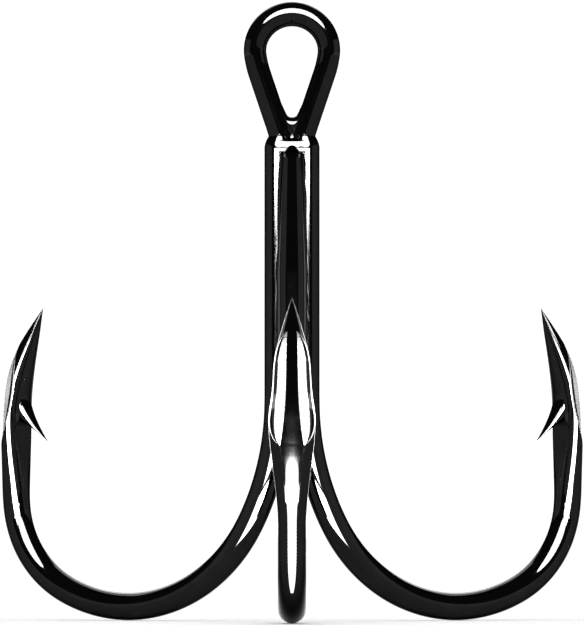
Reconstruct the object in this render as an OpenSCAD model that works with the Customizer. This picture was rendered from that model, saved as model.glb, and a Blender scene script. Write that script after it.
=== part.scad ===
// Treble hook: one wire bent double makes the eye and two of the hooks, a second wire makes the
// third hook, and braze metal joins the two wires along the shank.
// Frame: +Z runs up the shank, the third hook faces -Y, and the origin is the centre of the eye's
// round top. The eye lies in the plane Y = 0.

/* [Wire] */
// Diameter of the wire in the shank and the bends
wire_d = 2.1; // [1.9:0.05:2.2]
// Gap between two wires in the shank, which the braze fills
joint_gap = 0.03; // [0.02:0.01:0.05]

/* [Eye] */
// Diameter of the swaged wire round the eye
eye_wire_d = 1.74; // [1.6:0.02:1.8]
// Radius of the eye's round top, to the centre of the wire
eye_r = 2.87; // [2.8:0.01:3]
// Extra radius of the wire at the very top of the eye
eye_crown = 0.09; // [0:0.01:0.1]
// Angle between each straight side of the eye and the shank
eye_side_angle = 18.6; // [17.5:0.1:19.5]

/* [Shank] */
// Distance from the eye's centre down to the start of the bends
shank_drop = 26.7; // [24:0.1:30]
// Distance from the eye's centre down to the top of the second wire's tail
second_wire_drop = 7; // [6.9:0.1:8]
// Length of the second wire's tapered tail
tail_l = 9.6; // [8:0.1:12]
// Radius of the tail where its bevelled end begins
tail_r = 0.73; // [0.65:0.01:0.95]
// Radius of the hollow face of the braze in the grooves
fillet_r = 0.34; // [0.25:0.01:0.6]

/* [Bend] */
// Radius of the flare that leaves the shank
flare_r = 19.2; // [16:0.1:22]
// Angle through which the flare turns the wire
flare_sweep = 29.7; // [26:0.1:34]
// Radius of the main bend
bend_r = 12.55; // [11:0.01:14]
// Heading, from straight down, at which the main bend hands over to the heel
heel_heading = 118; // [112:1:124]
// Radius of the heel, which turns the wire straight up
heel_r = 8.02; // [7:0.01:9]

/* [Point] */
// Length of the straight leg above the heel
leg_l = 6.4; // [5.5:0.1:8]
// Radius of the curve that leans the point towards the shank
point_r = 12.9; // [11:0.1:15]
// Angle of that lean
point_sweep = 24; // [18:1:28]
// Length of the straight tip
tip_l = 3.3; // [2.5:0.01:3.6]
// Half width of the spear where it is widest, sideways to the bend
spear_w = 1.75; // [1.4:0.01:1.8]
// Half thickness of the spear in the plane of the bend
spear_t = 0.9; // [0.75:0.01:0.95]
// How far round the section each of the point's two ground flats reaches, from the outer side
grind_reach = 116; // [90:1:120]

/* [Barb] */
// Distance along the wire from the tip to the top of the barb
barb_s = 6.8; // [6:0.1:7.5]
// How far the barb's tip stands off the wire
barb_rise = 1.9; // [1.4:0.05:2]
// Length of the barb along the wire
barb_l = 4; // [3.4:0.1:4.4]

/* [Hidden] */

wire_r = wire_d / 2;
eye_wire_r = eye_wire_d / 2;
pitch = wire_d + joint_gap;          // centre to centre of neighbouring wires in the shank
wire_u = pitch / sqrt(3);            // shank axis to the centre of each wire
shank_y = -wire_u / 2;               // the shank's axis lies this far in front of the eye's plane

// Turn of the plane that holds each hook, about +Z from +X
front_turn = -90;
right_turn = 30;

wire_colour = [0.06, 0.06, 0.07];
braze_colour = [0.13, 0.11, 0.09];

// --- Path of one hook in its own plane, as [distance from the shank axis, height, heading] ---
// The heading is 0 straight down, 90 away from the shank and 180 straight up.
function step_line(p, l) = [p[0] + l * sin(p[2]), p[1] - l * cos(p[2]), p[2]];
function step_arc(p, r, sweep) = [
    p[0] + r * (cos(p[2]) - cos(p[2] + sweep)),
    p[1] + r * (sin(p[2]) - sin(p[2] + sweep)),
    p[2] + sweep
];

shank_end = [wire_u, -shank_drop, 0];
flare_end = step_arc(shank_end, flare_r, flare_sweep);
bend_end = step_arc(flare_end, bend_r, heel_heading - flare_sweep);
heel_end = step_arc(bend_end, heel_r, 180 - heel_heading);
leg_end = step_line(heel_end, leg_l);
curve_end = step_arc(leg_end, point_r, point_sweep);
tip = step_line(curve_end, tip_l);

// Distances back from the tip at which each stretch of the path ends
curve_s = tip_l + point_r * point_sweep * PI / 180;
leg_s = curve_s + leg_l;
heel_s = leg_s + heel_r * (180 - heel_heading) * PI / 180;
bend_s = heel_s + bend_r * (heel_heading - flare_sweep) * PI / 180;
flare_s = bend_s + flare_r * flare_sweep * PI / 180;

// Place at distance s back from the tip along the wire
function back_arc(p, r, l) = step_arc(p, r, -l / r * 180 / PI);
function from_tip(s) =
    s <= tip_l ? step_line(tip, -s)
    : s <= curve_s ? back_arc(curve_end, point_r, s - tip_l)
    : s <= leg_s ? step_line(leg_end, curve_s - s)
    : s <= heel_s ? back_arc(heel_end, heel_r, s - leg_s)
    : s <= bend_s ? back_arc(bend_end, bend_r, s - heel_s)
    : s <= flare_s ? back_arc(flare_end, flare_r, s - bend_s)
    : step_line(shank_end, flare_s - s);

// --- Section of the wire at distance s from the tip ---
sides = 24;                          // sides of every round section
widest_s = 9.2;                      // where the spear is widest
thick_s = 6.4;                       // where it reaches its thickness
round_s = 17.4;                      // where the wire is round again
grind_from = 3;                      // ends of the two ground flats
grind_to = 11.4;
grind_ends = [24, 34];               // where round the section the flats start and end
grind_ridge = 16;                    // half the ridge left between them, round the section

function ease(a, b, x) = let (t = max(0, min(1, (x - a) / (b - a)))) t * t * (3 - 2 * t);
function mix(a, b, t) = a + (b - a) * t;
function swell(from, s) = mix(from, wire_r, ease(widest_s, round_s, s));
function half_width(s) = s < widest_s ? spear_w * sin(90 * s / widest_s) : swell(spear_w, s);
function half_thickness(s) = s < thick_s ? spear_t * sin(90 * s / thick_s) : swell(spear_t, s);

// Angles round the section at which the flat begins and ends, equal where there is no flat
function grind_span(s) =
    let (
        x = (s - grind_from) / (grind_to - grind_from),
        end = mix(grind_ends[0], grind_ends[1], x),
        open = x > 0 && x < 1 ? pow(sin(180 * x), 0.7) : 0
    )
    [mix(end, grind_ridge, open), mix(end, grind_reach, open)];

// Outline of the section: the first number points to the outer side of the bend
function section(s) =
    let (
        t = half_thickness(s),
        w = half_width(s),
        span = grind_span(s),
        from = [t * cos(span[0]), w * sin(span[0])],
        to = [t * cos(span[1]), w * sin(span[1])]
    )
    [
        for (i = [0:sides - 1])
            let (
                f = 360 * i / sides,
                side = f > 180 ? -1 : 1,
                a = side > 0 ? f : 360 - f,
                q = a > span[0] && a < span[1]
                    ? mix(from, to, (a - span[0]) / (span[1] - span[0]))
                    : [t * cos(a), w * sin(a)]
            )
            [q[0], side * q[1]]
    ];

// A section's points round the place p of a path that lies in the XZ plane
function ring(p, outline) =
    [for (q = outline) [p[0] - q[0] * cos(p[2]), q[1], p[1] - q[0] * sin(p[2])]];
function round_outline(r, roll) =
    [for (i = [0:sides - 1]) [r * cos(360 * i / sides - roll), r * sin(360 * i / sides - roll)]];
function turned(points, a) =
    [for (p = points) [p[0] * cos(a) - p[1] * sin(a), p[0] * sin(a) + p[1] * cos(a) + shank_y, p[2]]];
function mirrored(points) = [for (p = points) [-p[0], p[1], p[2]]];

// Distances at which the hook has a ring, closer together where it changes faster
function steps(a, b, n) = [for (i = [1:n]) a + (b - a) * i / n];
hook_steps = concat(
    [0.25, 0.6, 1.1, 1.7, 2.35],
    steps(tip_l - 0.06, curve_s, 8),
    steps(curve_s, leg_s, 7),
    steps(leg_s, heel_s, 9),
    steps(heel_s, bend_s, 16),
    steps(bend_s, flare_s, 6)
);
function hook_rings(turn) = [for (s = hook_steps) turned(ring(from_tip(s), section(s)), turn)];
function hook_tip(turn) = turned([[tip[0], 0, tip[1]]], turn)[0];

// Rings joined into one closed wire, with a point at each end
module wire(first, rings, last) {
    n = sides;
    end = 1 + len(rings) * n;
    points = [first, for (r = rings) each r, last];
    faces = [
        for (i = [0:n - 1]) [0, 1 + (i + 1) % n, 1 + i],
        for (k = [0:len(rings) - 2], i = [0:n - 1])
            let (a = 1 + k * n + i, b = 1 + k * n + (i + 1) % n)
            [a, b, b + n, a + n],
        for (i = [0:n - 1]) [end, end - n + i, end - n + (i + 1) % n]
    ];
    polyhedron(points, faces, convexity = 8);
}

// --- Barb: a tongue cut from the inner face of the wire and lifted ---
module barb() {
    root = from_tip(barb_s);
    inner = root[0] - spear_t + 0.12;
    translate([inner, 0, root[1]])
        intersection() {
            rotate([90, 0, 0])
                linear_extrude(4, center = true)
                    polygon([
                        [0.5, 0.7],
                        for (t = [0:0.2:1]) [-barb_rise * pow(t, 1.7), -barb_l * t],
                        [-barb_rise * 0.52, -barb_l * 0.8],
                        [-barb_rise * 0.15, -barb_l * 0.7],
                        [0.9, -barb_l * 0.64]
                    ]);
            rotate([90, 0, 90])
                linear_extrude(8, center = true)
                    polygon([[-0.85, 1], [-0.8, -barb_l * 0.5], [-0.12, -barb_l - 0.1],
                             [0.12, -barb_l - 0.1], [0.8, -barb_l * 0.5], [0.85, 1]]);
        }
}
module barb_at(turn) {
    translate([0, shank_y, 0])
        rotate([0, 0, turn])
            barb();
}

// --- Eye and neck, in the plane Y = 0 with X to the right ---
neck_x = eye_wire_r + joint_gap / 2; // the two sides all but touch at the neck
neck_z = -(eye_r / cos(eye_side_angle) - neck_x) / tan(eye_side_angle);
shoulder_z = neck_z - 1;             // below this the wire has its full diameter
eye_end_z = -eye_r * sin(eye_side_angle);

// Centre and radius of the right-hand wire at height z, from the eye's side to the shank
function neck_path_x(z) =
    let (
        side = neck_x + (z - neck_z) * tan(eye_side_angle),
        shank = neck_x + (pitch / 2 - neck_x) * ease(neck_z + 0.1, shoulder_z, z),
        blend = 0.06
    )
    (side + shank + sqrt(pow(side - shank, 2) + blend * blend)) / 2;
function neck_heading(z) = -atan((neck_path_x(z + 0.01) - neck_path_x(z - 0.01)) / 0.02);
function neck_r(z) = eye_wire_r + (wire_r - eye_wire_r) * ease(neck_z, shoulder_z, z);

neck_heights = concat([shoulder_z - 0.1], steps(shoulder_z, neck_z + 0.5, 10), [eye_end_z - 1]);
neck_rings = [
    for (z = neck_heights)
        ring([neck_path_x(z), z, neck_heading(z)], round_outline(neck_r(z), right_turn))
];
eye_steps = 22;
function crown(h) = h > 0 ? eye_crown * pow(sin(h), 2) : 0;
eye_rings = [
    for (i = [0:eye_steps])
        let (h = -eye_side_angle + (90 + eye_side_angle) * i / eye_steps, r = eye_r + crown(h))
        ring([r * cos(h), r * sin(h), h], round_outline(eye_wire_r + crown(h), right_turn))
];

module double_hook_wire() {
    half = concat(hook_rings(right_turn), neck_rings, eye_rings);
    other_half = [for (k = [len(half) - 2:-1:0]) mirrored(half[k])];
    color(wire_colour) {
        wire(hook_tip(right_turn), concat(half, other_half), mirrored([hook_tip(right_turn)])[0]);
        for (turn = [right_turn, 180 - right_turn])
            barb_at(turn);
    }
}

// --- Tail of the second wire, tapered so that it sinks into the front groove ---
// Distance from the shank's axis at which a wire of radius r rests on the two others
function seat(r) = sqrt(pow(wire_r + joint_gap + r, 2) - pow(pitch / 2, 2)) - wire_u / 2;
bevel_l = 0.9;                       // length of the bevelled end
tail_top = -second_wire_drop;
tail_base = tail_top - tail_l;
bevel_z = tail_top - bevel_l;
function front_r(z) = mix(tail_r, wire_r, max(0, min(1, (bevel_z - z) / (bevel_z - tail_base))));

function tail_ring(z, r) = turned(ring([seat(r), z, 0], round_outline(r, 0)), front_turn);
tail_rings = concat(
    [for (z = steps(tail_base, bevel_z, 4)) tail_ring(z, front_r(z))],
    [for (t = [0.2:0.2:0.8]) tail_ring(bevel_z + bevel_l * t, tail_r * (1 - pow(t, 1.3)))]
);
tail_tip = turned([[seat(0.06), 0, tail_top]], front_turn)[0];

module single_hook_wire() {
    base_ring = tail_ring(tail_base, wire_r);
    color(wire_colour) {
        wire(hook_tip(front_turn), concat(hook_rings(front_turn), [base_ring], tail_rings), tail_tip);
        barb_at(front_turn);
    }
}

// --- Braze metal, between the second wire's bevelled end and the bends ---
braze_fn = 128;
braze_bottom = -shank_drop - 0.5;
clear = 0.006;                       // keeps the braze off the corners of the wires' sections
over = 1;                            // how far a bore runs on past the braze

// The two side wires of the shank, and their narrowing at the neck
module side_bores() {
    neck_lean = atan((pitch / 2 - neck_x) / (neck_z - shoulder_z));
    for (side = [0, 1])
        mirror([side, 0, 0])
            translate([pitch / 2, 0, 0]) {
                translate([0, 0, braze_bottom - over])
                    cylinder(h = shoulder_z - braze_bottom + over, r = wire_r, $fn = braze_fn);
                translate([0, 0, shoulder_z])
                    rotate([0, -neck_lean, 0])
                        cylinder(
                            h = (neck_z - shoulder_z) / cos(neck_lean),
                            r1 = wire_r + 3 * clear,
                            r2 = eye_wire_r + 3 * clear,
                            $fn = braze_fn
                        );
            }
}

// Bores with twelve flat sides that clear the wires, with two edges towards the other wires
module flat_bore(h, r1, r2) {
    cylinder(h = h, r1 = r1 / cos(15), r2 = r2 / cos(15), $fn = 12);
}
module flat_side_bores(bottom, top) {
    for (side = [-1, 1])
        translate([side * pitch / 2, 0, bottom - over])
            flat_bore(top - bottom + 2 * over, wire_r, wire_r);
}
module flat_front_bore() {
    translate([0, shank_y - wire_u, braze_bottom - over])
        flat_bore(tail_base - braze_bottom + 2 * over, wire_r, wire_r);
}
module flat_tail_bore() {
    tail_lean = atan((wire_u - seat(tail_r)) / (bevel_z - tail_base));
    translate([0, shank_y - wire_u, tail_base])
        rotate([-tail_lean, 0, 0])
            flat_bore((bevel_z - tail_base) / cos(tail_lean), wire_r, tail_r);
}

// Beside the front wire, each run of braze is one solid along the straight wire and one along
// its tail
straight_top = tail_base - 0.02;
tail_run_bottom = tail_base + 0.04;
tail_run_top = bevel_z - 0.1;

// Block in the groove that faces the given way, with a hollow face that meets both wires' sides
module groove_block(turn, bottom, top) {
    floor_r = sqrt(pow(wire_r + fillet_r, 2) - pow(pitch / 2, 2));
    edge = floor_r * wire_r / (wire_r + fillet_r);
    translate([0, shank_y, bottom])
        rotate([0, 0, turn])
            difference() {
                translate([wire_u / 2, -0.4, 0])
                    cube([edge, 0.8, top - bottom]);
                translate([wire_u / 2 + floor_r, 0, -over])
                    cylinder(h = top - bottom + 2 * over, r = fillet_r, $fn = 12);
            }
}

// Fillet between the front wire and the wire on one side
module front_fillet(turn) {
    color(braze_colour) {
        difference() {
            groove_block(turn, braze_bottom, straight_top);
            flat_side_bores(braze_bottom, straight_top);
            flat_front_bore();
        }
        difference() {
            groove_block(turn, tail_run_bottom, tail_run_top);
            flat_side_bores(tail_run_bottom, tail_run_top);
            flat_tail_bore();
        }
    }
}

module braze_fillet_rear() {
    color(braze_colour)
        difference() {
            groove_block(90, braze_bottom, shoulder_z - 0.05);
            flat_side_bores(braze_bottom, shoulder_z);
        }
}

// Three-sided thread of braze drawn between the three wires
module core_prism(bottom, top) {
    translate([0, 0, bottom])
        linear_extrude(top - bottom)
            polygon([[-pitch / 2, 0], [pitch / 2, 0], [0, shank_y - seat(tail_r)]]);
}
module braze_core() {
    color(braze_colour) {
        difference() {
            core_prism(braze_bottom, straight_top);
            flat_side_bores(braze_bottom, straight_top);
            flat_front_bore();
        }
        difference() {
            core_prism(tail_run_bottom, tail_run_top);
            flat_side_bores(tail_run_bottom, tail_run_top);
            flat_tail_bore();
        }
    }
}

// Cap in the front groove, over the tip of the second wire's bevelled end
cap_top = neck_z - 0.13;
cap_front = 0.86;
module braze_cap() {
    color(braze_colour)
        difference() {
            translate([-0.7, -cap_front, tail_top + 0.02])
                cube([1.4, cap_front - 0.1, cap_top - tail_top - 0.02]);
            side_bores();
        }
}

// Web of braze that closes the bottom of the eye, between its two converging sides
throat_top = -4.6;
throat_floor = -4.95;
throat_bottom = neck_z + 0.25;
throat_t = 1;
module braze_throat() {
    color(braze_colour)
        difference() {
            translate([-1.5, -throat_t / 2, throat_bottom])
                cube([3, throat_t, throat_top - throat_bottom]);
            for (side = [0, 1])
                mirror([side, 0, 0])
                    translate([eye_r * cos(eye_side_angle), 0, eye_end_z])
                        rotate([0, 180 + eye_side_angle, 0]) {
                            cylinder(h = 9, r = eye_wire_r, $fn = braze_fn);
                            translate([-4, -2, 0])
                                cube([4, 4, 9]);
                        }
            translate([0, 2, throat_floor + 0.5])
                rotate([90, 0, 0])
                    cylinder(h = 4, r = 0.5, $fn = 64);
        }
}

double_hook_wire();
single_hook_wire();
front_fillet(210);  // braze_fillet_left
front_fillet(-30);  // braze_fillet_right
braze_fillet_rear();
braze_core();
braze_cap();
braze_throat();
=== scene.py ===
"""Black nickel treble hook on a pale studio floor.

The two wires are swept along the CAD's own path, so the script repeats the CAD's driving
dimensions. All shapes are worked out in millimetres and become metres when a mesh is made.
"""

import math
from collections import namedtuple

import bmesh
import bpy
import numpy as np
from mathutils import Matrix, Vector
from mathutils.kdtree import KDTree


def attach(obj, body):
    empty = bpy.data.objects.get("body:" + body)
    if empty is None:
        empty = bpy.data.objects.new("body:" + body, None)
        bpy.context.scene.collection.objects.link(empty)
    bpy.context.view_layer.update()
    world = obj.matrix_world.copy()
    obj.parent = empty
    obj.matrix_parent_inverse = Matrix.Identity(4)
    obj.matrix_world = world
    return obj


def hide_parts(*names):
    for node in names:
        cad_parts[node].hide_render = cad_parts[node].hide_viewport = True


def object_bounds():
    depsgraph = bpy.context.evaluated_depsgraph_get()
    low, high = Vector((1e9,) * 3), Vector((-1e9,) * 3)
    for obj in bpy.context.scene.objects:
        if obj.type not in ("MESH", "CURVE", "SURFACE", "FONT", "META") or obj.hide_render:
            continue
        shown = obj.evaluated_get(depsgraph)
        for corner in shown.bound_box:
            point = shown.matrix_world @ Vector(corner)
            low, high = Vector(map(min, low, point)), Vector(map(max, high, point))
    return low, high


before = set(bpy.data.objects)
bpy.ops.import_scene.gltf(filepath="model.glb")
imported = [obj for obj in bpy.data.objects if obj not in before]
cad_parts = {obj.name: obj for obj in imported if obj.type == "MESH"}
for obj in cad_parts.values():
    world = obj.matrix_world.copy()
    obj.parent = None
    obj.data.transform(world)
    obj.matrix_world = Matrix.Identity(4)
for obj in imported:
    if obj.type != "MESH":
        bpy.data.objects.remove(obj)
CAD_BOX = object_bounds()
MM = 0.001
SAME_PLACE = 1e-8  # metres within which two points are one

# --- Driving dimensions in millimetres, as in the CAD ---
WIRE_R = 1.05
JOINT_GAP = 0.03
EYE_WIRE_R = 0.87
EYE_R = 2.87
EYE_CROWN = 0.09
EYE_SIDE_ANGLE = 18.6
SHANK_DROP = 26.7
TAIL_TOP, TAIL_L, TAIL_R, BEVEL_L = -7.0, 9.6, 0.73, 0.9
FILLET_R = 0.34
FLARE_R, FLARE_SWEEP = 19.2, 29.7
BEND_R, HEEL_HEADING = 12.55, 118.0
HEEL_R = 8.02
LEG_L = 6.4
POINT_R, POINT_SWEEP = 12.9, 24.0
TIP_L = 3.3
SPEAR_W, SPEAR_T = 1.75, 0.9
WIDEST_S, THICK_S, ROUND_S = 9.2, 6.4, 17.4
GRIND_FROM, GRIND_TO = 3.0, 11.4
GRIND_ENDS = (24.0, 34.0)
GRIND_RIDGE, GRIND_REACH = 16.0, 116.0
BARB_S, BARB_RISE, BARB_L = 6.8, 1.9, 4.0

PITCH = 2 * WIRE_R + JOINT_GAP
WIRE_U = PITCH / math.sqrt(3)
SHANK_Y = -WIRE_U / 2
FRONT_TURN, RIGHT_TURN, LEFT_TURN = -90.0, 30.0, 150.0


# --- Small helpers ---
def smooth(a, b, x):
    t = np.clip((np.asarray(x, float) - a) / (b - a), 0, 1)
    return t * t * (3 - 2 * t)


def mix(a, b, t):
    return a + (b - a) * t


def sind(a):
    return np.sin(np.radians(a))


def cosd(a):
    return np.cos(np.radians(a))


def make_object(name, points, faces):
    """A mesh object from points in millimetres."""
    mesh = bpy.data.meshes.new(name)
    mesh.from_pydata((np.asarray(points, float) * MM).tolist(), [], faces)
    mesh.validate()
    obj = bpy.data.objects.new(name, mesh)
    bpy.context.scene.collection.objects.link(obj)
    return obj


def loft_faces(rings, columns, first=0):
    """Quads between rings of columns points each, numbered from first."""
    faces = []
    for k in range(rings - 1):
        a = first + k * columns
        for i in range(columns):
            j = (i + 1) % columns
            faces.append((a + i, a + j, a + columns + j, a + columns + i))
    return faces


def closed_loft(name, rings, first_fan=True):
    """A closed object from an array of rings, with a fan of triangles over each end. Without the
    first fan, the first ring is folded flat, and its two sides are joined."""
    count, columns, _ = rings.shape
    points = np.concatenate([rings.reshape(-1, 3), [rings[0].mean(0)], [rings[-1].mean(0)]])
    faces = loft_faces(count, columns)
    start, end = count * columns, count * columns + 1
    last = (count - 1) * columns
    for i in range(columns):
        j = (i + 1) % columns
        if first_fan:
            faces.append((start, j, i))
        faces.append((end, last + i, last + j))
    obj = make_object(name, points, faces)
    if not first_fan:
        join_coincident(obj)
    outward(obj)
    return obj


def join_coincident(obj):
    """Joins points that coincide, and leaves out the loose ones."""
    bm = bmesh.new()
    bm.from_mesh(obj.data)
    bmesh.ops.remove_doubles(bm, verts=bm.verts, dist=SAME_PLACE)
    bmesh.ops.delete(bm, geom=[v for v in bm.verts if not v.link_faces], context="VERTS")
    bm.to_mesh(obj.data)
    bm.free()


def outward(obj):
    """Turns every face outwards."""
    bm = bmesh.new()
    bm.from_mesh(obj.data)
    bmesh.ops.recalc_face_normals(bm, faces=bm.faces)
    bm.to_mesh(obj.data)
    bm.free()


def soften(obj, sharp_angle):
    """Smooth shading, apart from edges sharper than sharp_angle degrees."""
    obj.data.shade_smooth()
    obj.data.set_sharp_from_angle(angle=math.radians(sharp_angle))


# --- Path of one hook in its own plane: distance from the shank axis, height, heading ---
def step_line(place, length):
    u, z, h = place
    return u + length * sind(h), z - length * cosd(h), h


def step_arc(place, radius, sweep):
    u, z, h = place
    return (
        u + radius * (cosd(h) - cosd(h + sweep)),
        z + radius * (sind(h) - sind(h + sweep)),
        h + sweep,
    )


SHANK_END = (WIRE_U, -SHANK_DROP, 0.0)
FLARE_END = step_arc(SHANK_END, FLARE_R, FLARE_SWEEP)
BEND_END = step_arc(FLARE_END, BEND_R, HEEL_HEADING - FLARE_SWEEP)
HEEL_END = step_arc(BEND_END, HEEL_R, 180 - HEEL_HEADING)
LEG_END = step_line(HEEL_END, LEG_L)
CURVE_END = step_arc(LEG_END, POINT_R, POINT_SWEEP)
TIP = step_line(CURVE_END, TIP_L)

CURVE_S = TIP_L + POINT_R * math.radians(POINT_SWEEP)
LEG_S = CURVE_S + LEG_L
HEEL_S = LEG_S + HEEL_R * math.radians(180 - HEEL_HEADING)
BEND_S = HEEL_S + BEND_R * math.radians(HEEL_HEADING - FLARE_SWEEP)
FLARE_S = BEND_S + FLARE_R * math.radians(FLARE_SWEEP)


def place_from_tip(s):
    if s <= TIP_L:
        return step_line(TIP, -s)
    if s <= CURVE_S:
        return step_arc(CURVE_END, POINT_R, -math.degrees((s - TIP_L) / POINT_R))
    if s <= LEG_S:
        return step_line(LEG_END, CURVE_S - s)
    if s <= HEEL_S:
        return step_arc(HEEL_END, HEEL_R, -math.degrees((s - LEG_S) / HEEL_R))
    if s <= BEND_S:
        return step_arc(BEND_END, BEND_R, -math.degrees((s - HEEL_S) / BEND_R))
    if s <= FLARE_S:
        return step_arc(FLARE_END, FLARE_R, -math.degrees((s - BEND_S) / FLARE_R))
    return step_line(SHANK_END, FLARE_S - s)


EASE_SAMPLES = 15
HOOK_EASE, HOOK_EASE_FROM = 1.2, 4.0  # reach, in full from this distance behind the tip


def eased(place, s, reach):
    """Average of the places within reach of s, so that one bend flows into the next."""
    nearby = [place(s + d) for d in np.linspace(-reach, reach, EASE_SAMPLES)]
    return tuple(np.mean(nearby, axis=0))


def from_tip(s):
    """Place on the hook at distance s back from its tip."""
    return eased(place_from_tip, s, HOOK_EASE * float(smooth(0, HOOK_EASE_FROM, s)))


# --- Section of the wire ---
# Columns of half a section: along the ridge, across the ground flat, and round the inner side.
# They crowd towards the flat's two edges, so that those stay crisp.
RIDGE_COLUMNS = np.array([0, 0.3, 0.6, 0.82, 0.94])
FLAT_COLUMNS = np.array([0, 0.04, 0.12, 0.25, 0.4, 0.55, 0.7, 0.82, 0.91, 0.965])
INNER_COLUMNS = np.append([0, 0.035, 0.09], np.linspace(0.16, 1, 18))
HALF = len(RIDGE_COLUMNS) + len(FLAT_COLUMNS) + len(INNER_COLUMNS) - 1
COLUMNS = 2 * HALF
EVEN_ANGLES = np.linspace(0, 180, HALF + 1)
NARROWEST_FLAT = 7.0  # degrees that the flat's columns span at least
CROWD_BEFORE, CROWD_AFTER = (2.0, 0.3), (0.3, 3.0)  # from the flats' ends, in mm
GRIND_FULLNESS = 0.7  # lower makes the flats' ends blunter
# The cut that the barb was lifted from, in the wire's inner side.
NOTCH_FROM, NOTCH_TO, NOTCH_DEPTH = 9.2, 13.6, 0.3
NOTCH_WALL, NOTCH_FLOOR = 0.35, 0.8


def swell(start, s):
    return mix(start, WIRE_R, smooth(WIDEST_S, ROUND_S, s))


def half_width(s):
    """Half the wire's width s behind the tip: a spear, then a swell back to round wire."""
    spear = SPEAR_W * sind(90 * np.minimum(s / WIDEST_S, 1))
    return np.where(s < WIDEST_S, spear, swell(SPEAR_W, s))


def half_thickness(s):
    spear = SPEAR_T * sind(90 * np.minimum(s / THICK_S, 1))
    return np.where(s < THICK_S, spear, swell(SPEAR_T, s))


def grind_span(s):
    """Angles round the section between which it is ground flat. They meet where it isn't."""
    x = np.clip((s - GRIND_FROM) / (GRIND_TO - GRIND_FROM), 0, 1)
    end = mix(GRIND_ENDS[0], GRIND_ENDS[1], x)
    opening = np.maximum(sind(180 * x), 0) ** GRIND_FULLNESS
    return mix(end, GRIND_RIDGE, opening), mix(end, GRIND_REACH, opening)


def on_oval(s, angle):
    return np.stack([half_thickness(s) * cosd(angle), half_width(s) * sind(angle)], -1)


def half_outline(s, angle):
    """Points of half the section: outwards from the bend, then sideways."""
    start, end = grind_span(s)
    t = np.clip((angle - start) / np.maximum(end - start, 0.01), 0, 1)[..., None]
    flat = mix(on_oval(s, start), on_oval(s, end), t)
    inside = ((angle > start) & (angle < end))[..., None]
    q = np.where(inside, flat, on_oval(s, angle))
    wall = smooth(NOTCH_FROM, NOTCH_FROM + NOTCH_WALL, s)
    depth = NOTCH_DEPTH * wall * (1 - smooth(NOTCH_FROM + NOTCH_FLOOR, NOTCH_TO, s))
    q[..., 0] = np.maximum(q[..., 0], depth - half_thickness(s))
    return q


def column_angles(s):
    """Angles of half a section's points, which gather at the flat's edges where there is one."""
    start, end = grind_span(s)
    middle = (start + end) / 2
    start = np.minimum(start, middle - NARROWEST_FLAT / 2)
    end = np.maximum(end, middle + NARROWEST_FLAT / 2)
    crowded = np.concatenate([
        start * RIDGE_COLUMNS,
        start + (end - start) * FLAT_COLUMNS,
        end + (180 - end) * INNER_COLUMNS,
    ])
    gathered = smooth(GRIND_FROM - CROWD_BEFORE[0], GRIND_FROM - CROWD_BEFORE[1], s)
    spread_out = smooth(GRIND_TO + CROWD_AFTER[0], GRIND_TO + CROWD_AFTER[1], s)
    return mix(EVEN_ANGLES, crowded, gathered * (1 - spread_out))


def outline(s):
    """The whole section at distance s from the tip, with the flats' edges slightly broken."""
    half = half_outline(np.full(HALF + 1, s), column_angles(s))
    rounded = half.copy()
    rounded[1:-1] = 0.5 * half[1:-1] + 0.25 * (half[:-2] + half[2:])
    corners = np.zeros(HALF + 1, bool)
    corners[len(RIDGE_COLUMNS)] = True
    corners[len(RIDGE_COLUMNS) + len(FLAT_COLUMNS)] = True
    half = np.where(corners[:, None], rounded, half)
    return np.concatenate([half, half[-2:0:-1] * (1, -1)])


def round_outline(radius, roll=0.0):
    angles = np.concatenate([EVEN_ANGLES, -EVEN_ANGLES[-2:0:-1]]) - roll
    return np.stack([radius * cosd(angles), radius * sind(angles)], -1)


def ring(place, points):
    """Section points round a place of a path in the XZ plane."""
    u, z, h = place
    return np.stack([u - points[:, 0] * cosd(h), points[:, 1], z - points[:, 0] * sind(h)], -1)


Station = namedtuple("Station", "points centre outer")


def station(place, points, turn=0.0, axis_y=0.0):
    """A ring with its middle, and the direction of the bend's outer side there."""
    u, z, h = place
    middle = np.array([u, 0, z])
    outer = np.array([-cosd(h), 0, -sind(h)])
    shift = np.array([0, axis_y - SHANK_Y, 0])
    placed = [turned(p, turn) + shift for p in (ring(place, points), middle, middle + outer)]
    return Station(placed[0], placed[1], placed[2] - placed[1])


def turned(points, angle):
    """From a hook's own plane to its place round the shank."""
    x, y, z = np.moveaxis(np.asarray(points, float), -1, 0)
    across = x * cosd(angle) - y * sind(angle)
    deep = x * sind(angle) + y * cosd(angle) + SHANK_Y
    return np.stack([across, deep, z], -1)


def mirrored(points):
    return np.asarray(points) * (-1, 1, 1)


def mirrored_station(place):
    return Station(*(mirrored(p) for p in place))


# --- The two wires ---
FIRST_RING, TIP_STEP, TIP_GROWTH, TIP_RINGS = 0.03, 0.06, 1.02, 60
SPEAR_STEP, BEND_STEP, SHANK_RINGS = 0.09, 0.22, 40
STRETCH_GAP = 0.3  # between the last ring of one stretch of wire and the first of the next


def ring_distances(wire_end):
    """Distances from the tip at which a hook has a ring."""
    fine = TIP_STEP * TIP_GROWTH ** np.arange(1, TIP_RINGS)
    spear = np.cumsum(np.concatenate([[FIRST_RING], np.minimum(fine, SPEAR_STEP)]))
    return np.concatenate([
        spear[spear < GRIND_FROM],
        np.arange(GRIND_FROM, ROUND_S, SPEAR_STEP),
        np.arange(ROUND_S, FLARE_S, BEND_STEP),
        np.linspace(FLARE_S, wire_end, SHANK_RINGS),
    ])


def hook_stations(turn, wire_end):
    return [station(from_tip(s), outline(s), turn, SHANK_Y) for s in ring_distances(wire_end)]


def tip_of(turn):
    return turned([[TIP[0], 0, TIP[1]]], turn)[0]


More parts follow.
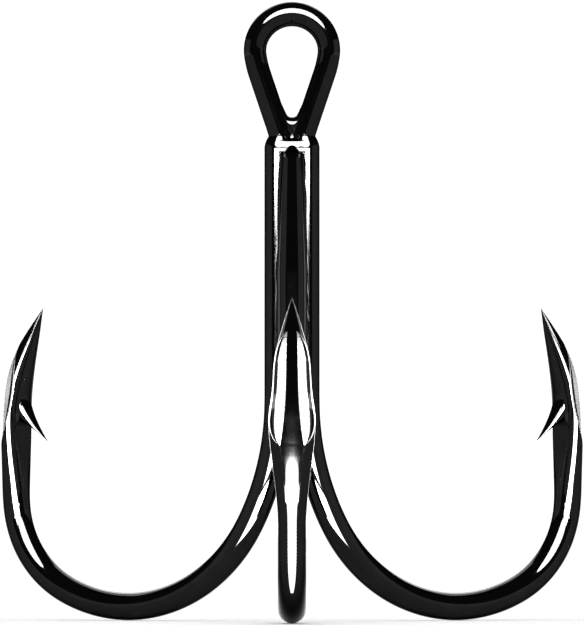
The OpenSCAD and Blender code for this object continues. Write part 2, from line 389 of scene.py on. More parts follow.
NECK_X = EYE_WIRE_R + JOINT_GAP / 2
NECK_Z = -(EYE_R / cosd(EYE_SIDE_ANGLE) - NECK_X) / np.tan(np.radians(EYE_SIDE_ANGLE))
SHOULDER_Z = NECK_Z - 1.0  # below this the wire has its full diameter
NECK_EASE, NECK_SOFT = 0.1, 0.06  # how gently the two sides part
NECK_BELOW, NECK_ABOVE, NECK_RINGS = 0.1, 0.62, 44  # from below the shoulder to above the neck
NECK_SLOPE_STEP = 0.01
EYE_END_Z = -EYE_R * sind(EYE_SIDE_ANGLE)
EYE_SIDE_L = (EYE_END_Z - NECK_Z) / cosd(EYE_SIDE_ANGLE)
EYE_RINGS_FROM, EYE_RINGS = 0.8, 110
EYE_EASE, EYE_EASE_L = 1.1, 1.6  # reach where side meets round, and how far from there it fades


def neck_path_x(z):
    """Middle of the right-hand wire at height z, from the eye's side to the shank."""
    side = NECK_X + (z - NECK_Z) * np.tan(np.radians(EYE_SIDE_ANGLE))
    shank = mix(NECK_X, PITCH / 2, 1 - smooth(SHOULDER_Z, NECK_Z + NECK_EASE, z))
    return (side + shank + np.sqrt((side - shank) ** 2 + NECK_SOFT**2)) / 2


def neck_r(z):
    return mix(EYE_WIRE_R, WIRE_R, 1 - smooth(SHOULDER_Z, NECK_Z, z))


def crown(h):
    """How much the eye is swaged thicker at angle h round it."""
    return EYE_CROWN * max(sind(h), 0) ** 2


def place_in_eye(s):
    """Place at distance s up the eye's straight side from the neck, and round its top."""
    if s <= EYE_SIDE_L:
        return step_line((NECK_X, NECK_Z, 180 - EYE_SIDE_ANGLE), s)
    h = math.degrees((s - EYE_SIDE_L) / EYE_R) - EYE_SIDE_ANGLE
    radius = EYE_R + crown(h)
    return radius * cosd(h), radius * sind(h), 180 + h


def neck_stations():
    stations = []
    for z in np.linspace(SHOULDER_Z - NECK_BELOW, NECK_Z + NECK_ABOVE, NECK_RINGS):
        rise = neck_path_x(z + NECK_SLOPE_STEP) - neck_path_x(z - NECK_SLOPE_STEP)
        heading = -math.degrees(math.atan(rise / (2 * NECK_SLOPE_STEP)))
        place = (neck_path_x(z), z, heading)
        stations.append(station(place, round_outline(neck_r(z), RIGHT_TURN)))
    return stations


def eye_stations():
    """Right half of the eye. Its last ring lies exactly on the plane of symmetry."""
    top = EYE_SIDE_L + EYE_R * math.radians(90 + EYE_SIDE_ANGLE)
    stations = []
    for s in np.linspace(EYE_RINGS_FROM, top, EYE_RINGS):
        reach = EYE_EASE * math.exp(-(((s - EYE_SIDE_L) / EYE_EASE_L) ** 2))
        u, z, h = eased(place_in_eye, s, reach)
        if s == top:
            u, h = 0.0, 270.0
        wire = round_outline(EYE_WIRE_R + crown(h - 180), RIGHT_TURN)
        stations.append(station((u, z, h - 180), wire))
    return stations


def wire_object(name, first, stations, last):
    """A closed wire through its stations, with a point at each end."""
    points = np.concatenate([[first], *(place.points for place in stations), [last]])
    faces = loft_faces(len(stations), COLUMNS, first=1)
    end = len(points) - 1
    for i in range(COLUMNS):
        j = (i + 1) % COLUMNS
        faces.append((0, 1 + j, 1 + i))
        faces.append((end, end - COLUMNS + i, end - COLUMNS + j))
    obj = make_object(name, points, faces)
    outward(obj)
    return obj


BARB_COLUMNS, BARB_RINGS = 40, 30
BARB_SINK = 0.12  # how deep in the wire its top starts
BARB_LEAD = 0.18  # share of its length that it starts before its root
BARB_CURL, BARB_FLATNESS = 1.7, 0.45
BARB_HEEL, BARB_HEEL_DEPTH = 0.62, 0.7  # start of its underside: share of its length, and depth
BARB_HALF_W, BARB_TIP_HALF_W, BARB_TIP_R = 0.9, 0.03, 0.02


def barb_object(turn):
    """A tongue cut from the wire's inner face and lifted, crowned on top and flat below."""
    root_u, root_z, _ = from_tip(BARB_S)
    inner = root_u - SPEAR_T + BARB_SINK
    angles = np.linspace(0, 360, BARB_COLUMNS, endpoint=False)
    across = cosd(angles)
    raised = np.where(angles < 180, sind(angles), -np.abs(sind(angles)) ** BARB_FLATNESS)
    rings = []
    for t in np.linspace(0, 1, BARB_RINGS):
        over = mix(-BARB_LEAD, 1, t)
        rise = np.sign(over) * abs(over) ** (BARB_CURL if over > 0 else 1.0)
        top = np.array([inner - BARB_RISE * rise, 0, root_z - BARB_L * over])
        under = np.array([
            inner + mix(BARB_HEEL_DEPTH, -BARB_RISE, t**0.9),
            0,
            root_z - BARB_L * (BARB_HEEL + (1 - BARB_HEEL) * t**1.5),
        ])
        middle = (top + under) / 2
        half = (top - under) / 2 + np.array([0, 0, BARB_TIP_R]) * t
        width = BARB_TIP_HALF_W + BARB_HALF_W * (1 - t) ** 0.8
        rings.append(middle + raised[:, None] * half + across[:, None] * np.array([0, width, 0]))
    return closed_loft("barb", turned(np.array(rings), turn))


def joined(obj, others):
    """Adds the others to obj as one solid."""
    for other in others:
        cut = obj.modifiers.new("join", "BOOLEAN")
        cut.operation = "UNION"
        cut.solver = "EXACT"
        cut.object = other
    evaluated = obj.evaluated_get(bpy.context.evaluated_depsgraph_get())
    done = bpy.data.meshes.new_from_object(evaluated)
    obj.modifiers.clear()
    obj.data = done
    for other in others:
        bpy.data.objects.remove(other)


def mark_wire(obj, stations, ends):
    """Stores each point's place in the wire: outwards and sideways in its section, and along it.
    Also stores whether it is on a ground flat, of which this many ends of the wire have a pair,
    and how far across. The material follows these."""
    centres = np.array([place.centre for place in stations])
    outers = np.array([place.outer for place in stations])
    along = np.concatenate([[0], np.cumsum(np.linalg.norm(np.diff(centres, axis=0), axis=1))])
    along += ring_distances(0)[0]
    tree = KDTree(len(centres))
    for k, centre in enumerate(centres):
        tree.insert(Vector(centre), k)
    tree.balance()
    mesh = obj.data
    place = np.zeros((len(mesh.vertices), 3))
    for n, vertex in enumerate(mesh.vertices):
        point = np.array(vertex.co) / MM
        k = tree.find(Vector(point))[1]
        off = point - centres[k]
        out = off @ outers[k]
        place[n] = (out, math.sqrt(max(off @ off - out * out, 0)), along[k])
    store = mesh.attributes.new("wire_place", "FLOAT_VECTOR", "POINT")
    store.data.foreach_set("vector", place.astype(np.float32).ravel())
    across, ground = (np.zeros(len(mesh.vertices)) for _ in range(2))
    from_ends = (place[:, 2], along[-1] + along[0] - place[:, 2])
    for s in from_ends[:ends]:
        near = s < GRIND_TO + MARK_MARGIN
        across[near], ground[near] = across_flat(place[near, :2], s[near])
    for name, values in (("across_flat", across), ("ground", ground)):
        store = mesh.attributes.new(name, "FLOAT", "POINT")
        store.data.foreach_set("value", values.astype(np.float32))


MARK_MARGIN = 2.0  # mm along the wire past the flats where points are still looked at
ON_FLAT = 0.02  # mm off a flat within which a point is on it
FLAT_ENDS = 0.002  # share of a flat's width past its edges that is on it too


def across_flat(q, s):
    """How far section points q at distances s from the tip are from a flat's ridge side, 0, to
    its inner side, 1, and whether they are on it at all."""
    start, end = grind_span(s)
    a, b = on_oval(s, start), on_oval(s, end)
    along, off = b - a, q - a
    length = np.maximum(np.linalg.norm(along, axis=1), 1e-6)
    t = (off * along).sum(1) / length**2
    away = np.abs(off[:, 0] * along[:, 1] - off[:, 1] * along[:, 0]) / length
    on = (s > GRIND_FROM) & (s < GRIND_TO) & (away < ON_FLAT)
    on &= (t > -FLAT_ENDS) & (t < 1 + FLAT_ENDS)
    angle = np.degrees(np.arctan2(q[:, 1] / half_width(s), q[:, 0] / half_thickness(s)))
    return np.where(on, np.clip(t, 0, 1), angle > (start + end) / 2), on


def double_wire():
    half = hook_stations(RIGHT_TURN, FLARE_S + SHANK_DROP + SHOULDER_Z - STRETCH_GAP)
    half += neck_stations() + eye_stations()
    stations = half + [mirrored_station(place) for place in half[-2::-1]]
    obj = wire_object("double_wire", tip_of(RIGHT_TURN), stations, mirrored(tip_of(RIGHT_TURN)))
    joined(obj, [barb_object(RIGHT_TURN), barb_object(LEFT_TURN)])
    mark_wire(obj, stations, 2)
    return obj


# --- Tail of the single wire, tapered so that it sinks into the front groove ---
TAIL_BASE = TAIL_TOP - TAIL_L
BEVEL_Z = TAIL_TOP - BEVEL_L
BEVEL_ROUND, BEVEL_CROWD, BEVEL_DROP = 1.3, 1.4, 0.012  # its rings crowd towards its top
TAIL_RINGS, BEVEL_RINGS = 24, 26
TAIL_END_R = 0.01


def seat(radius):
    """Distance from the shank's axis at which a wire of this radius rests on the two others."""
    return np.sqrt((WIRE_R + JOINT_GAP + radius) ** 2 - (PITCH / 2) ** 2) - WIRE_U / 2


def front_r(z):
    """Radius of the single wire at height z."""
    t = np.clip((BEVEL_Z - z) / (BEVEL_Z - TAIL_BASE), 0, 1)
    body = mix(TAIL_R, WIRE_R, t)
    bevel = np.clip((z - BEVEL_Z) / BEVEL_L, 0, 1)
    return body * (1 - bevel**BEVEL_ROUND)


def single_wire():
    stations = hook_stations(FRONT_TURN, FLARE_S + SHANK_DROP + TAIL_BASE - STRETCH_GAP)
    tail = np.linspace(TAIL_BASE, BEVEL_Z - STRETCH_GAP, TAIL_RINGS)
    bevel = TAIL_TOP - BEVEL_L * np.linspace(1, 0, BEVEL_RINGS) ** BEVEL_CROWD
    for z in np.concatenate([tail, bevel[:-1] - BEVEL_DROP]):
        place = (seat(front_r(z)), z, 0)
        stations.append(station(place, round_outline(front_r(z)), FRONT_TURN, SHANK_Y))
    top = turned([[seat(TAIL_END_R), 0, TAIL_TOP]], FRONT_TURN)[0]
    obj = wire_object("single_wire", tip_of(FRONT_TURN), stations, top)
    joined(obj, [barb_object(FRONT_TURN)])
    mark_wire(obj, stations, 1)
    return obj


# --- Braze: drawn into the grooves between the wires, and run over the tail's end ---
BRAZE_BOTTOM = -SHANK_DROP - 0.5
BURY = 0.02  # how far a run of braze reaches under the wires' surfaces
WALL_COLUMNS, HOLLOW_COLUMNS = 12, 16
FRONT_RINGS, REAR_RINGS, CORE_RINGS = 150, 160, 30
FRONT_TOP, REAR_TOP = BEVEL_Z + 0.25, NECK_Z - 0.35
SWELL_WAVES = 6


def side_wire(z, side):
    return np.array([side * neck_path_x(z), 0, neck_r(z)])


def front_wire(z):
    radius = front_r(z)
    return np.array([0, SHANK_Y - seat(radius), radius])


def groove(a, b, hollow_r):
    """Outline of the braze between wires a and b (x, y, radius), on the left from a to b."""
    d = np.linalg.norm(b[:2] - a[:2])
    along = (b[:2] - a[:2]) / d
    out = np.array([-along[1], along[0]])
    x = (d * d + (a[2] + hollow_r) ** 2 - (b[2] + hollow_r) ** 2) / (2 * d)
    y = math.sqrt((a[2] + hollow_r) ** 2 - x * x)
    angle_a, angle_b = math.atan2(y, x), math.atan2(y, d - x)
    t = np.linspace(0, 1, WALL_COLUMNS)
    from_a = (a[2] - BURY) * np.stack([np.cos(angle_a * t), np.sin(angle_a * t)], -1)
    f = mix(math.pi + angle_a, 2 * math.pi - angle_b, np.linspace(0, 1, HOLLOW_COLUMNS))
    hollow = np.stack([x + hollow_r * np.cos(f), y + hollow_r * np.sin(f)], -1)
    back = (b[2] - BURY) * np.stack([-np.cos(angle_b * t), np.sin(angle_b * t)], -1) + (d, 0)
    local = np.concatenate([from_a, hollow, back[::-1]])
    return a[:2] + local[:, :1] * along + local[:, 1:] * out


def run_of_braze(name, outline_at, heights):
    rings = []
    for z in heights:
        points = outline_at(z)
        rings.append(np.column_stack([points, np.full(len(points), z)]))
    return closed_loft(name, np.array(rings))


def uneven(seed):
    """A slow random swell along the shank, as the hollow of a run of braze has."""
    rng = np.random.default_rng(seed)
    waves = []
    for _ in range(SWELL_WAVES):
        waves.append((rng.uniform(0.5, 3.2), rng.uniform(0, 6.3), rng.uniform(0.03, 0.07)))
    return lambda z: 1 + sum(size * math.sin(rate * z + start) for rate, start, size in waves)


def front_fillet(side):
    """Braze between the single wire and the left leg, -1, or the right one, 1."""
    swell_at = uneven(3 + side)
    heights = np.linspace(BRAZE_BOTTOM, FRONT_TOP, FRONT_RINGS)

    def outline_at(z):
        points = groove(front_wire(z), side_wire(z, -1), FILLET_R * swell_at(z))
        return points * (-side, 1)

    return run_of_braze("braze_fillet", outline_at, heights)


def rear_fillet():
    swell_at = uneven(9)
    heights = np.linspace(BRAZE_BOTTOM, REAR_TOP, REAR_RINGS)

    def outline_at(z):
        return groove(side_wire(z, -1), side_wire(z, 1), FILLET_R * swell_at(z))

    return run_of_braze("braze_fillet_rear", outline_at, heights)


def smooth_max(a, b, k):
    """The larger of a and b, rounded over where they are within k of each other."""
    h = np.maximum(k - np.abs(a - b), 0) / k
    return np.maximum(a, b) + h * h * k / 4


CAP_HALF_W, CAP_BACK_Y = 1.02, -0.1
CAP_BOTTOM, CAP_TOP = BEVEL_Z - 1.1, NECK_Z + 0.02
CAP_COLUMNS, CAP_ROWS = 90, 110
CAP_FULL_FROM, CAP_FULL_TO, CAP_GONE = BEVEL_Z + 0.3, NECK_Z - 0.5, NECK_Z + 0.05
CAP_FILL, CAP_SINK = 0.96, 0.012  # share of the wires' radius it fills to, and set in by this
CAP_SIDE_BLEND, CAP_TAIL_BLEND = 0.16, 0.25


def cap():
    """A puddle that fills the front groove round the tail's bevelled end."""
    x = np.linspace(-CAP_HALF_W, CAP_HALF_W, CAP_COLUMNS)
    z = np.linspace(CAP_BOTTOM, CAP_TOP, CAP_ROWS)
    xs, zs = np.meshgrid(x, z)
    centre, radius = neck_path_x(zs), neck_r(zs)
    sides = np.sqrt(np.maximum(radius**2 - (np.abs(xs) - centre) ** 2, 0))
    tail_radius = front_r(zs)
    tail_y = seat(tail_radius) - SHANK_Y
    tail = tail_y + np.sqrt(np.maximum(tail_radius**2 - xs**2, 0))
    tail = np.where(np.abs(xs) < tail_radius, tail, 0)
    level = CAP_FILL * (1 - smooth(CAP_FULL_TO, CAP_GONE, zs)) * radius
    level *= smooth(CAP_BOTTOM, CAP_FULL_FROM, zs)
    front = smooth_max(smooth_max(sides, level, CAP_SIDE_BLEND), tail, CAP_TAIL_BLEND)
    front = np.where(np.abs(xs) > centre, sides, front) - CAP_SINK
    sheet = np.stack([xs, -front, zs], -1)
    back = np.stack([xs, np.full_like(xs, CAP_BACK_Y), zs], -1)
    rows = [np.concatenate([sheet[k], back[k][::-1]]) for k in range(CAP_ROWS)]
    return closed_loft("braze_cap", np.array(rows))


def core():
    """The thread of braze between the three wires."""
    heights = np.linspace(BRAZE_BOTTOM, BEVEL_Z, CORE_RINGS)

    def outline_at(z):
        a, b, c = side_wire(z, -1), side_wire(z, 1), front_wire(z)
        lean = math.atan2(-c[1], -a[0])
        points = []
        walls = ((b, math.pi, math.pi + lean), (c, lean, math.pi - lean), (a, -lean, 0))
        for wire, start, end in walls:
            f = np.linspace(start, end, WALL_COLUMNS)
            points.append(wire[:2] + (wire[2] - BURY) * np.stack([np.cos(f), np.sin(f)], -1))
        return np.concatenate(points)

    return run_of_braze("braze_core", outline_at, heights)


THROAT_FLOOR, THROAT_BOTTOM = -4.95, NECK_Z - 0.2  # middle of the saddle, and its hidden foot
SADDLE_HALF_W, SADDLE_FOOT = 1.05, 0.8  # the foot is this share of its width
SADDLE_COLUMNS, SADDLE_ROWS = 61, 60
SADDLE_R, SADDLE_ROUND_W, SADDLE_SLOPE = 0.5, 0.47, 2.2  # round in the middle, then straight up
RIM_R = 0.62
SIDE_LIMIT, SIDE_SINK, SIDE_BLEND = 0.95, 0.03, 0.3  # where it meets the eye's two sides


def throat():
    """A web hung like a saddle between the eye's two sides, with a thick round rim. Each ring
    runs across its front and back over its rear, and the first one is folded flat at the rim."""
    slope = math.tan(math.radians(EYE_SIDE_ANGLE))
    rim_x = np.linspace(-1, 1, SADDLE_COLUMNS) * SADDLE_HALF_W
    round_x = np.minimum(np.abs(rim_x), SADDLE_ROUND_W)
    rim_z = THROAT_FLOOR + SADDLE_R - np.sqrt(np.maximum(SADDLE_R**2 - round_x**2, 0))
    rim_z = rim_z + np.maximum(np.abs(rim_x) - SADDLE_ROUND_W, 0) * SADDLE_SLOPE
    rings = []
    for down in np.linspace(0, 1, SADDLE_ROWS) ** 1.5:
        z = mix(rim_z, THROAT_BOTTOM, down)
        x = rim_x * mix(1, SADDLE_FOOT, down)
        depth = rim_z - z
        web = np.sqrt(np.maximum(RIM_R**2 - np.maximum(RIM_R - depth, 0) ** 2, 0))
        side_x = NECK_X + np.maximum(z - NECK_Z, 0) * slope
        off = (np.abs(x) - side_x) * cosd(EYE_SIDE_ANGLE)
        side = np.sqrt(np.maximum(EYE_WIRE_R**2 - off**2, 0))
        side = np.minimum(side, SIDE_LIMIT * EYE_WIRE_R) - SIDE_SINK
        front = smooth_max(web, side, SIDE_BLEND)
        if down == 0:
            front = np.zeros_like(front)
        face = np.stack([x, -front, z], -1)
        rings.append(np.concatenate([face, face[::-1] * (1, -1, 1)]))
    return closed_loft("braze_throat", np.array(rings), first_fan=False)


# --- Materials ---
def node_material(name):
    material = bpy.data.materials.new(name)
    material.use_nodes = True
    nodes, links = material.node_tree.nodes, material.node_tree.links
    return material, nodes, links, nodes["Principled BSDF"]


def add(nodes, kind, **settings):
    node = nodes.new(kind)
    for key, value in settings.items():
        setattr(node, key, value)
    return node


def noise(nodes, links, vector, scale, detail=4.0, rough=0.55, distortion=0.0):
    node = add(nodes, "ShaderNodeTexNoise")
    node.inputs["Scale"].default_value = scale
    node.inputs["Detail"].default_value = detail
    node.inputs["Roughness"].default_value = rough
    node.inputs["Distortion"].default_value = distortion
    links.new(vector, node.inputs["Vector"])
    return node.outputs["Fac"]


def stretched(nodes, links, vector, scale):
    node = add(nodes, "ShaderNodeMapping")
    node.inputs["Scale"].default_value = scale
    links.new(vector, node.inputs["Vector"])
    return node.outputs["Vector"]


def ramp(nodes, links, value, stops):
    node = add(nodes, "ShaderNodeValToRGB")
    elements = node.color_ramp.elements
    while len(elements) < len(stops):
        elements.new(0.5)
    for element, (at, colour) in zip(elements, stops):
        element.position = at
        element.color = (*colour, 1) if len(colour) == 3 else colour
    links.new(value, node.inputs["Fac"])
    return node.outputs["Color"]


def remap(nodes, links, value, low, high, start=0.0, end=1.0):
    node = add(nodes, "ShaderNodeMapRange")
    node.inputs["From Min"].default_value = start
    node.inputs["From Max"].default_value = end
    node.inputs["To Min"].default_value = low
    node.inputs["To Max"].default_value = high
    links.new(value, node.inputs["Value"])
    return node.outputs["Result"]


def blended(nodes, links, kind, fac, a, b):
    node = add(nodes, "ShaderNodeMix", data_type=kind)
    sockets = {"RGBA": (6, 7, 2), "FLOAT": (2, 3, 0)}[kind]
    links.new(fac, node.inputs[0])
    for socket, value in zip(sockets[:2], (a, b)):
        if isinstance(value, bpy.types.NodeSocket):
            links.new(value, node.inputs[socket])
        else:
            node.inputs[socket].default_value = value
    return node.outputs[sockets[2]]


def bump(nodes, links, height, strength, distance, normal=None):
    node = add(nodes, "ShaderNodeBump")
    node.inputs["Strength"].default_value = strength
    node.inputs["Distance"].default_value = distance
    links.new(height, node.inputs["Height"])
    if normal is not None:
        links.new(normal, node.inputs["Normal"])
    return node.outputs["Normal"]


# Black nickel: dark and neutral at every angle, so that only the lights themselves show in it.
EDGE_TINT = (0.45, 0.45, 0.45, 1)
WIRE_BLACKS = ((0.3, (0.0125, 0.0125, 0.0128)), (0.7, (0.016, 0.0158, 0.016)))
BRAZE_BLACKS = ((0.3, (0.012, 0.012, 0.013)), (0.7, (0.017, 0.016, 0.0155)))
# The flats' bare steel, set bright partly as a painted highlight.
BARE_STEEL_AND_PAINTED_SHEEN = ((0.3, (0.62, 0.63, 0.65)), (0.7, (0.80, 0.80, 0.81)))
WIRE_ROUGHNESS, BRAZE_ROUGHNESS, STEEL_ROUGHNESS = (0.035, 0.06), (0.07, 0.14), (0.2, 0.34)
# Across a flat: bare steel, made bright partly as a painted highlight, then a dark band of painted
# shade, then a thin bright line by the inner edge, a painted highlight.
GROUND_PAINTED_LIGHT_STRIPES = (
    (0.0, 0), (0.03, 1), (0.60, 1), (0.66, 0.01), (0.88, 0.01), (0.92, 1), (0.99, 1), (1.0, 0),
)


def plated_wire():
    """Glossy black nickel over drawn wire, with the point's ground flats in bright steel, partly a
    painted highlight, crossed by a band of painted shade and a painted highlight line.
    """
    material, nodes, links, shader = node_material("black_nickel_wire")
    place = add(nodes, "ShaderNodeAttribute", attribute_name="wire_place").outputs["Vector"]
    across = add(nodes, "ShaderNodeAttribute", attribute_name="across_flat").outputs["Fac"]
    # Painted shade and highlight across each flat: a dark band, and a thin bright line near its
    # inner edge.
    painted_light_stripes = ramp(nodes, links, across, [(at, (on, on, on)) for at, on in GROUND_PAINTED_LIGHT_STRIPES])
    on_flat = add(nodes, "ShaderNodeAttribute", attribute_name="ground").outputs["Fac"]
    ground = blended(nodes, links, "FLOAT", on_flat, 0.0, painted_light_stripes)
    ripple = noise(nodes, links, place, 1.6, detail=3)
    lengthwise = stretched(nodes, links, place, (9, 9, 0.5))
    drawn = noise(nodes, links, lengthwise, 1.0, detail=5, rough=0.6)
    crosswise = stretched(nodes, links, place, (1.2, 1.2, 26))
    grinding = noise(nodes, links, crosswise, 1.0, detail=4, rough=0.65)
    smudge = noise(nodes, links, place, 0.45, detail=5, rough=0.6, distortion=0.6)

    black = ramp(nodes, links, smudge, WIRE_BLACKS)
    # Bright bare steel on the flats, partly a painted highlight.
    bright = ramp(nodes, links, grinding, BARE_STEEL_AND_PAINTED_SHEEN)
    links.new(blended(nodes, links, "RGBA", ground, black, bright), shader.inputs["Base Color"])

    gloss = remap(nodes, links, smudge, *WIRE_ROUGHNESS, start=0.3, end=0.75)
    ground_gloss = remap(nodes, links, grinding, *STEEL_ROUGHNESS)
    roughness = blended(nodes, links, "FLOAT", ground, gloss, ground_gloss)
    links.new(roughness, shader.inputs["Roughness"])
    shader.inputs["Metallic"].default_value = 1.0
    shader.inputs["Specular Tint"].default_value = EDGE_TINT

    drawn_normal = bump(nodes, links, drawn, 0.35, 0.0000004)
    wire_normal = bump(nodes, links, ripple, 0.15, 0.000002, drawn_normal)
    links.new(wire_normal, shader.inputs["Normal"])
    return material


def plated_braze():
    """The same plating over braze, which is softer in gloss and slightly pitted."""
    material, nodes, links, shader = node_material("black_nickel_braze")
    place = add(nodes, "ShaderNodeTexCoord").outputs["Object"]
    lumps = noise(nodes, links, place, 900, detail=4)
    pits = noise(nodes, links, place, 5200, detail=3)
    links.new(ramp(nodes, links, lumps, BRAZE_BLACKS), shader.inputs["Base Color"])
    gloss = remap(nodes, links, lumps, *BRAZE_ROUGHNESS, start=0.3, end=0.7)
    links.new(gloss, shader.inputs["Roughness"])
    shader.inputs["Metallic"].default_value = 1.0
    shader.inputs["Specular Tint"].default_value = EDGE_TINT
    normal = bump(nodes, links, lumps, 0.5, 0.000006)
    links.new(bump(nodes, links, pits, 0.3, 0.0000008, normal), shader.inputs["Normal"])
    return material


# --- Stage: floor, light and camera ---
HOOK_MIDDLE = Vector((0, SHANK_Y * MM, -0.020))
FLOOR_Z = CAD_BOX[0][2]
FLOOR_R = 4.0
WEDGE_LIFT = 0.0002
WHITE_ROOM, DIM_ROOM = 1.14, 0.15  # the world's light on the floor, and in the metal's reflections


def stage_collection(name):
    collection = bpy.data.collections.new(name)
    bpy.context.scene.collection.children.link(collection)
    return collection


# What a light falls on: all the metal, the single wire, or the rest. The last one stops a light.
lit_metal = stage_collection("lit_metal")
lit_single = stage_collection("lit_single")
lit_rest = stage_collection("lit_rest")
flagged = stage_collection("flagged")


def studio_floor():
    """A pale matt disc that the hook stands on."""
    centre = (Vector(CAD_BOX[0]) + Vector(CAD_BOX[1])) / 2
    bm = bmesh.new()
    bmesh.ops.create_circle(bm, cap_ends=True, radius=FLOOR_R, segments=96)
    mesh = bpy.data.meshes.new("floor")
    bm.to_mesh(mesh)
    bm.free()
    floor = bpy.data.objects.new("floor", mesh)
    floor.location = (centre.x, centre.y, FLOOR_Z)
    bpy.context.scene.collection.objects.link(floor)
    material, nodes, links, shader = node_material("pale_floor")
    shader.inputs["Base Color"].default_value = (0.9, 0.9, 0.9, 1)
    shader.inputs["Roughness"].default_value = 0.8
    shader.inputs["Specular IOR Level"].default_value = 0.0
    floor.data.materials.append(material)


def studio_world():
    """White behind the object and for the light on the floor, and a dim room in reflections."""
    world = bpy.data.worlds.new("studio")
    bpy.context.scene.world = world
    world.use_nodes = True
    nodes, links = world.node_tree.nodes, world.node_tree.links
    background = nodes["Background"]
    path = add(nodes, "ShaderNodeLightPath")
    strength = add(nodes, "ShaderNodeMix", data_type="FLOAT")
    strength.inputs[2].default_value = WHITE_ROOM
    strength.inputs[3].default_value = DIM_ROOM
    links.new(path.outputs["Is Glossy Ray"], strength.inputs[0])
    links.new(strength.outputs[0], background.inputs["Strength"])
    background.inputs["Color"].default_value = (1, 1, 1, 1)
    world.cycles.sampling_method = "NONE"


def panel(name, centre, facing, size, radiance, lit, shape="RECTANGLE", spread=180.0):
    """A flat light in metres that falls on one collection, and only the metal stops it. The
    floor has the world's light alone. Spread is the whole angle of its beam in degrees."""
    data = bpy.data.lights.new(name, "AREA")
    data.shape = shape
    data.size, data.size_y = size
    area = size[0] * size[1] * (math.pi / 4 if shape == "ELLIPSE" else 1)
    data.energy = radiance * math.pi * area
    data.spread = math.radians(spread)
    light = bpy.data.objects.new(name, data)
    light.location = centre
    light.rotation_euler = Vector(facing).to_track_quat("-Z", "Y").to_euler()
    light.visible_camera = False
    light.light_linking.receiver_collection = lit
    light.light_linking.blocker_collection = lit_metal
    bpy.context.scene.collection.objects.link(light)
    return light


def softbox(name, azimuth, elevation, distance, radiance, lit, shape="RECTANGLE"):
    """A panel that spans these angles as seen from the hook. Azimuth 0 is the camera's side,
    and 90 the right."""
    spans = (azimuth, elevation)
    a, e = (math.radians(sum(span) / 2) for span in spans)
    direction = Vector((math.sin(a) * math.cos(e), -math.cos(a) * math.cos(e), math.sin(e)))
    width, height = (2 * distance * math.tan(math.radians(end - start) / 2) for start, end in spans)
    size = (width * math.cos(e), height)
    panel(name, HOOK_MIDDLE + direction * distance, -direction, size, radiance, lit, shape)


def floor_wedge(apex_y, start, reach, growth, flare, flare_by, lean, radiance):
    """A wedge of light strips on the floor in front of the single hook. Its half width per metre
    goes from one flare to the other, and it leans slightly to one side."""
    near = start
    while near < reach:
        far = near * growth
        width = (near + far) * mix(*flare, min(1, far / flare_by))
        centre = (lean * near, apex_y - (near + far) / 2, FLOOR_Z + WEDGE_LIFT)
        panel("floor_wedge", centre, (0, 0, 1), (width, far - near), radiance, lit_single)
        near = far


def eye_flag(light, y, z):
    """A flag that keeps this light off the eye, above height z. It is then the only thing that
    stops this light, and it stops no other."""
    half_w, top = 0.040, 0.020
    edge = ((-half_w, z), (half_w, z), (half_w, top), (-half_w, top))
    corners = [(x / MM, y / MM, height / MM) for x, height in edge]
    flag = make_object("eye_flag", corners, [(0, 1, 2, 3)])
    flag.visible_camera = flag.visible_glossy = flag.visible_diffuse = False
    flagged.objects.link(flag)
    light.light_linking.blocker_collection = flagged


def camera():
    """A long lens from far off, level with the bends."""
    distance, height = 0.708, -0.036
    look_at = Vector((0, SHANK_Y * MM, -0.01995))
    data = bpy.data.cameras.new("camera")
    data.sensor_width = 36
    data.lens = 532.8
    data.clip_start, data.clip_end = 0.01, 20
    cam = bpy.data.objects.new("camera", data)
    cam.location = (0, SHANK_Y * MM - distance, height)
    cam.rotation_euler = (look_at - cam.location).to_track_quat("-Z", "Y").to_euler()
    bpy.context.scene.collection.objects.link(cam)
    bpy.context.scene.camera = cam


camera()
studio_floor()
studio_world()

# The eye's crescent and the shoulders, then the shank's stripes.
softbox(
    "main_softbox", azimuth=(-27, 33), elevation=(10, 52), distance=1.0, radiance=90, lit=lit_rest,
    shape="ELLIPSE",
)
shank_card = panel(
    "shank_card", centre=(0, HOOK_MIDDLE.y - 1.0, 0.03675), facing=(0, 1, 0), size=(1.28, 0.0345),
    radiance=190, lit=lit_rest, shape="ELLIPSE",
)
# The stripes up the side legs, and round their bends beside the single hook.
panel(
    "low_card", centre=(0, -0.040, -0.0339), facing=(0, 1, 0), size=(0.082, 0.0194),
    radiance=90, lit=lit_rest, spread=50,
)
panel(
    "bend_card", centre=(0, -0.0097, -0.0398), facing=(0, 0.97, 0.24), size=(0.044, 0.0062),
    radiance=90, lit=lit_rest, spread=60,
)
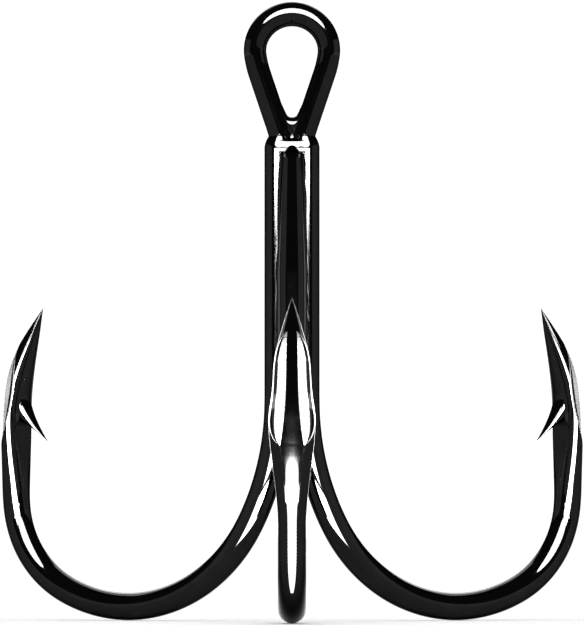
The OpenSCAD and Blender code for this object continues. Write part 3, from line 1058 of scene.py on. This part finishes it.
# The single hook's leg, below the ground flats.
panel(
    "leg_card", centre=(0, -0.080, -0.0434), facing=(0, 1, 0), size=(0.112, 0.0307),
    radiance=120, lit=lit_single, shape="ELLIPSE",
)
# Soft light from behind and from both sides, which all the metal has.
softbox(
    "back_softbox", azimuth=(150, 215), elevation=(22, 58), distance=1.0, radiance=18,
    lit=lit_metal,
)
for name, azimuth in (("side_left", (-135, -55)), ("side_right", (55, 135))):
    softbox(name, azimuth, elevation=(-4, 18), distance=0.7, radiance=1.1, lit=lit_metal)
# The single hook's ground flats and thin outlines, then the underside of its bend.
for side in (-1, 1):
    high = sorted((side * 88, side * 135))
    back = sorted((side * 132, side * 178))
    softbox("rim_high", high, elevation=(12, 40), distance=0.7, radiance=9, lit=lit_single)
    softbox("rim_back", back, elevation=(-12, 14), distance=0.7, radiance=12, lit=lit_single)
floor_wedge(
    apex_y=-0.0215, start=0.0006, reach=1.0, growth=1.12, flare=(0.56, 0.95), flare_by=0.12,
    lean=0.02, radiance=90,
)
eye_flag(shank_card, y=-0.012, z=-0.00595)

wire_material = plated_wire()
braze_material = plated_braze()
SHARP_ANGLE = 50
PIECES = (
    (double_wire, "double_hook_wire", "hook_wire", wire_material),
    (single_wire, "single_hook_wire", "hook_wire", wire_material),
    (lambda: front_fillet(-1), "braze_fillet_left", "braze", braze_material),
    (lambda: front_fillet(1), "braze_fillet_right", "braze", braze_material),
    (rear_fillet, "braze_fillet_rear", "braze", braze_material),
    (core, "braze_core", "braze", braze_material),
    (cap, "braze_cap", "braze", braze_material),
    (throat, "braze_throat", "braze", braze_material),
)
for build, node, slot, material in PIECES:
    piece = build()
    piece.name = node + "_plated"
    soften(piece, SHARP_ANGLE)
    piece.data.materials.append(material)
    lit_metal.objects.link(piece)
    own_lights = lit_single if node == "single_hook_wire" else lit_rest
    own_lights.objects.link(piece)
    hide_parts(node)
    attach(piece, "root")

scene = bpy.context.scene
scene.view_settings.view_transform = "Standard"
scene.view_settings.look = "None"
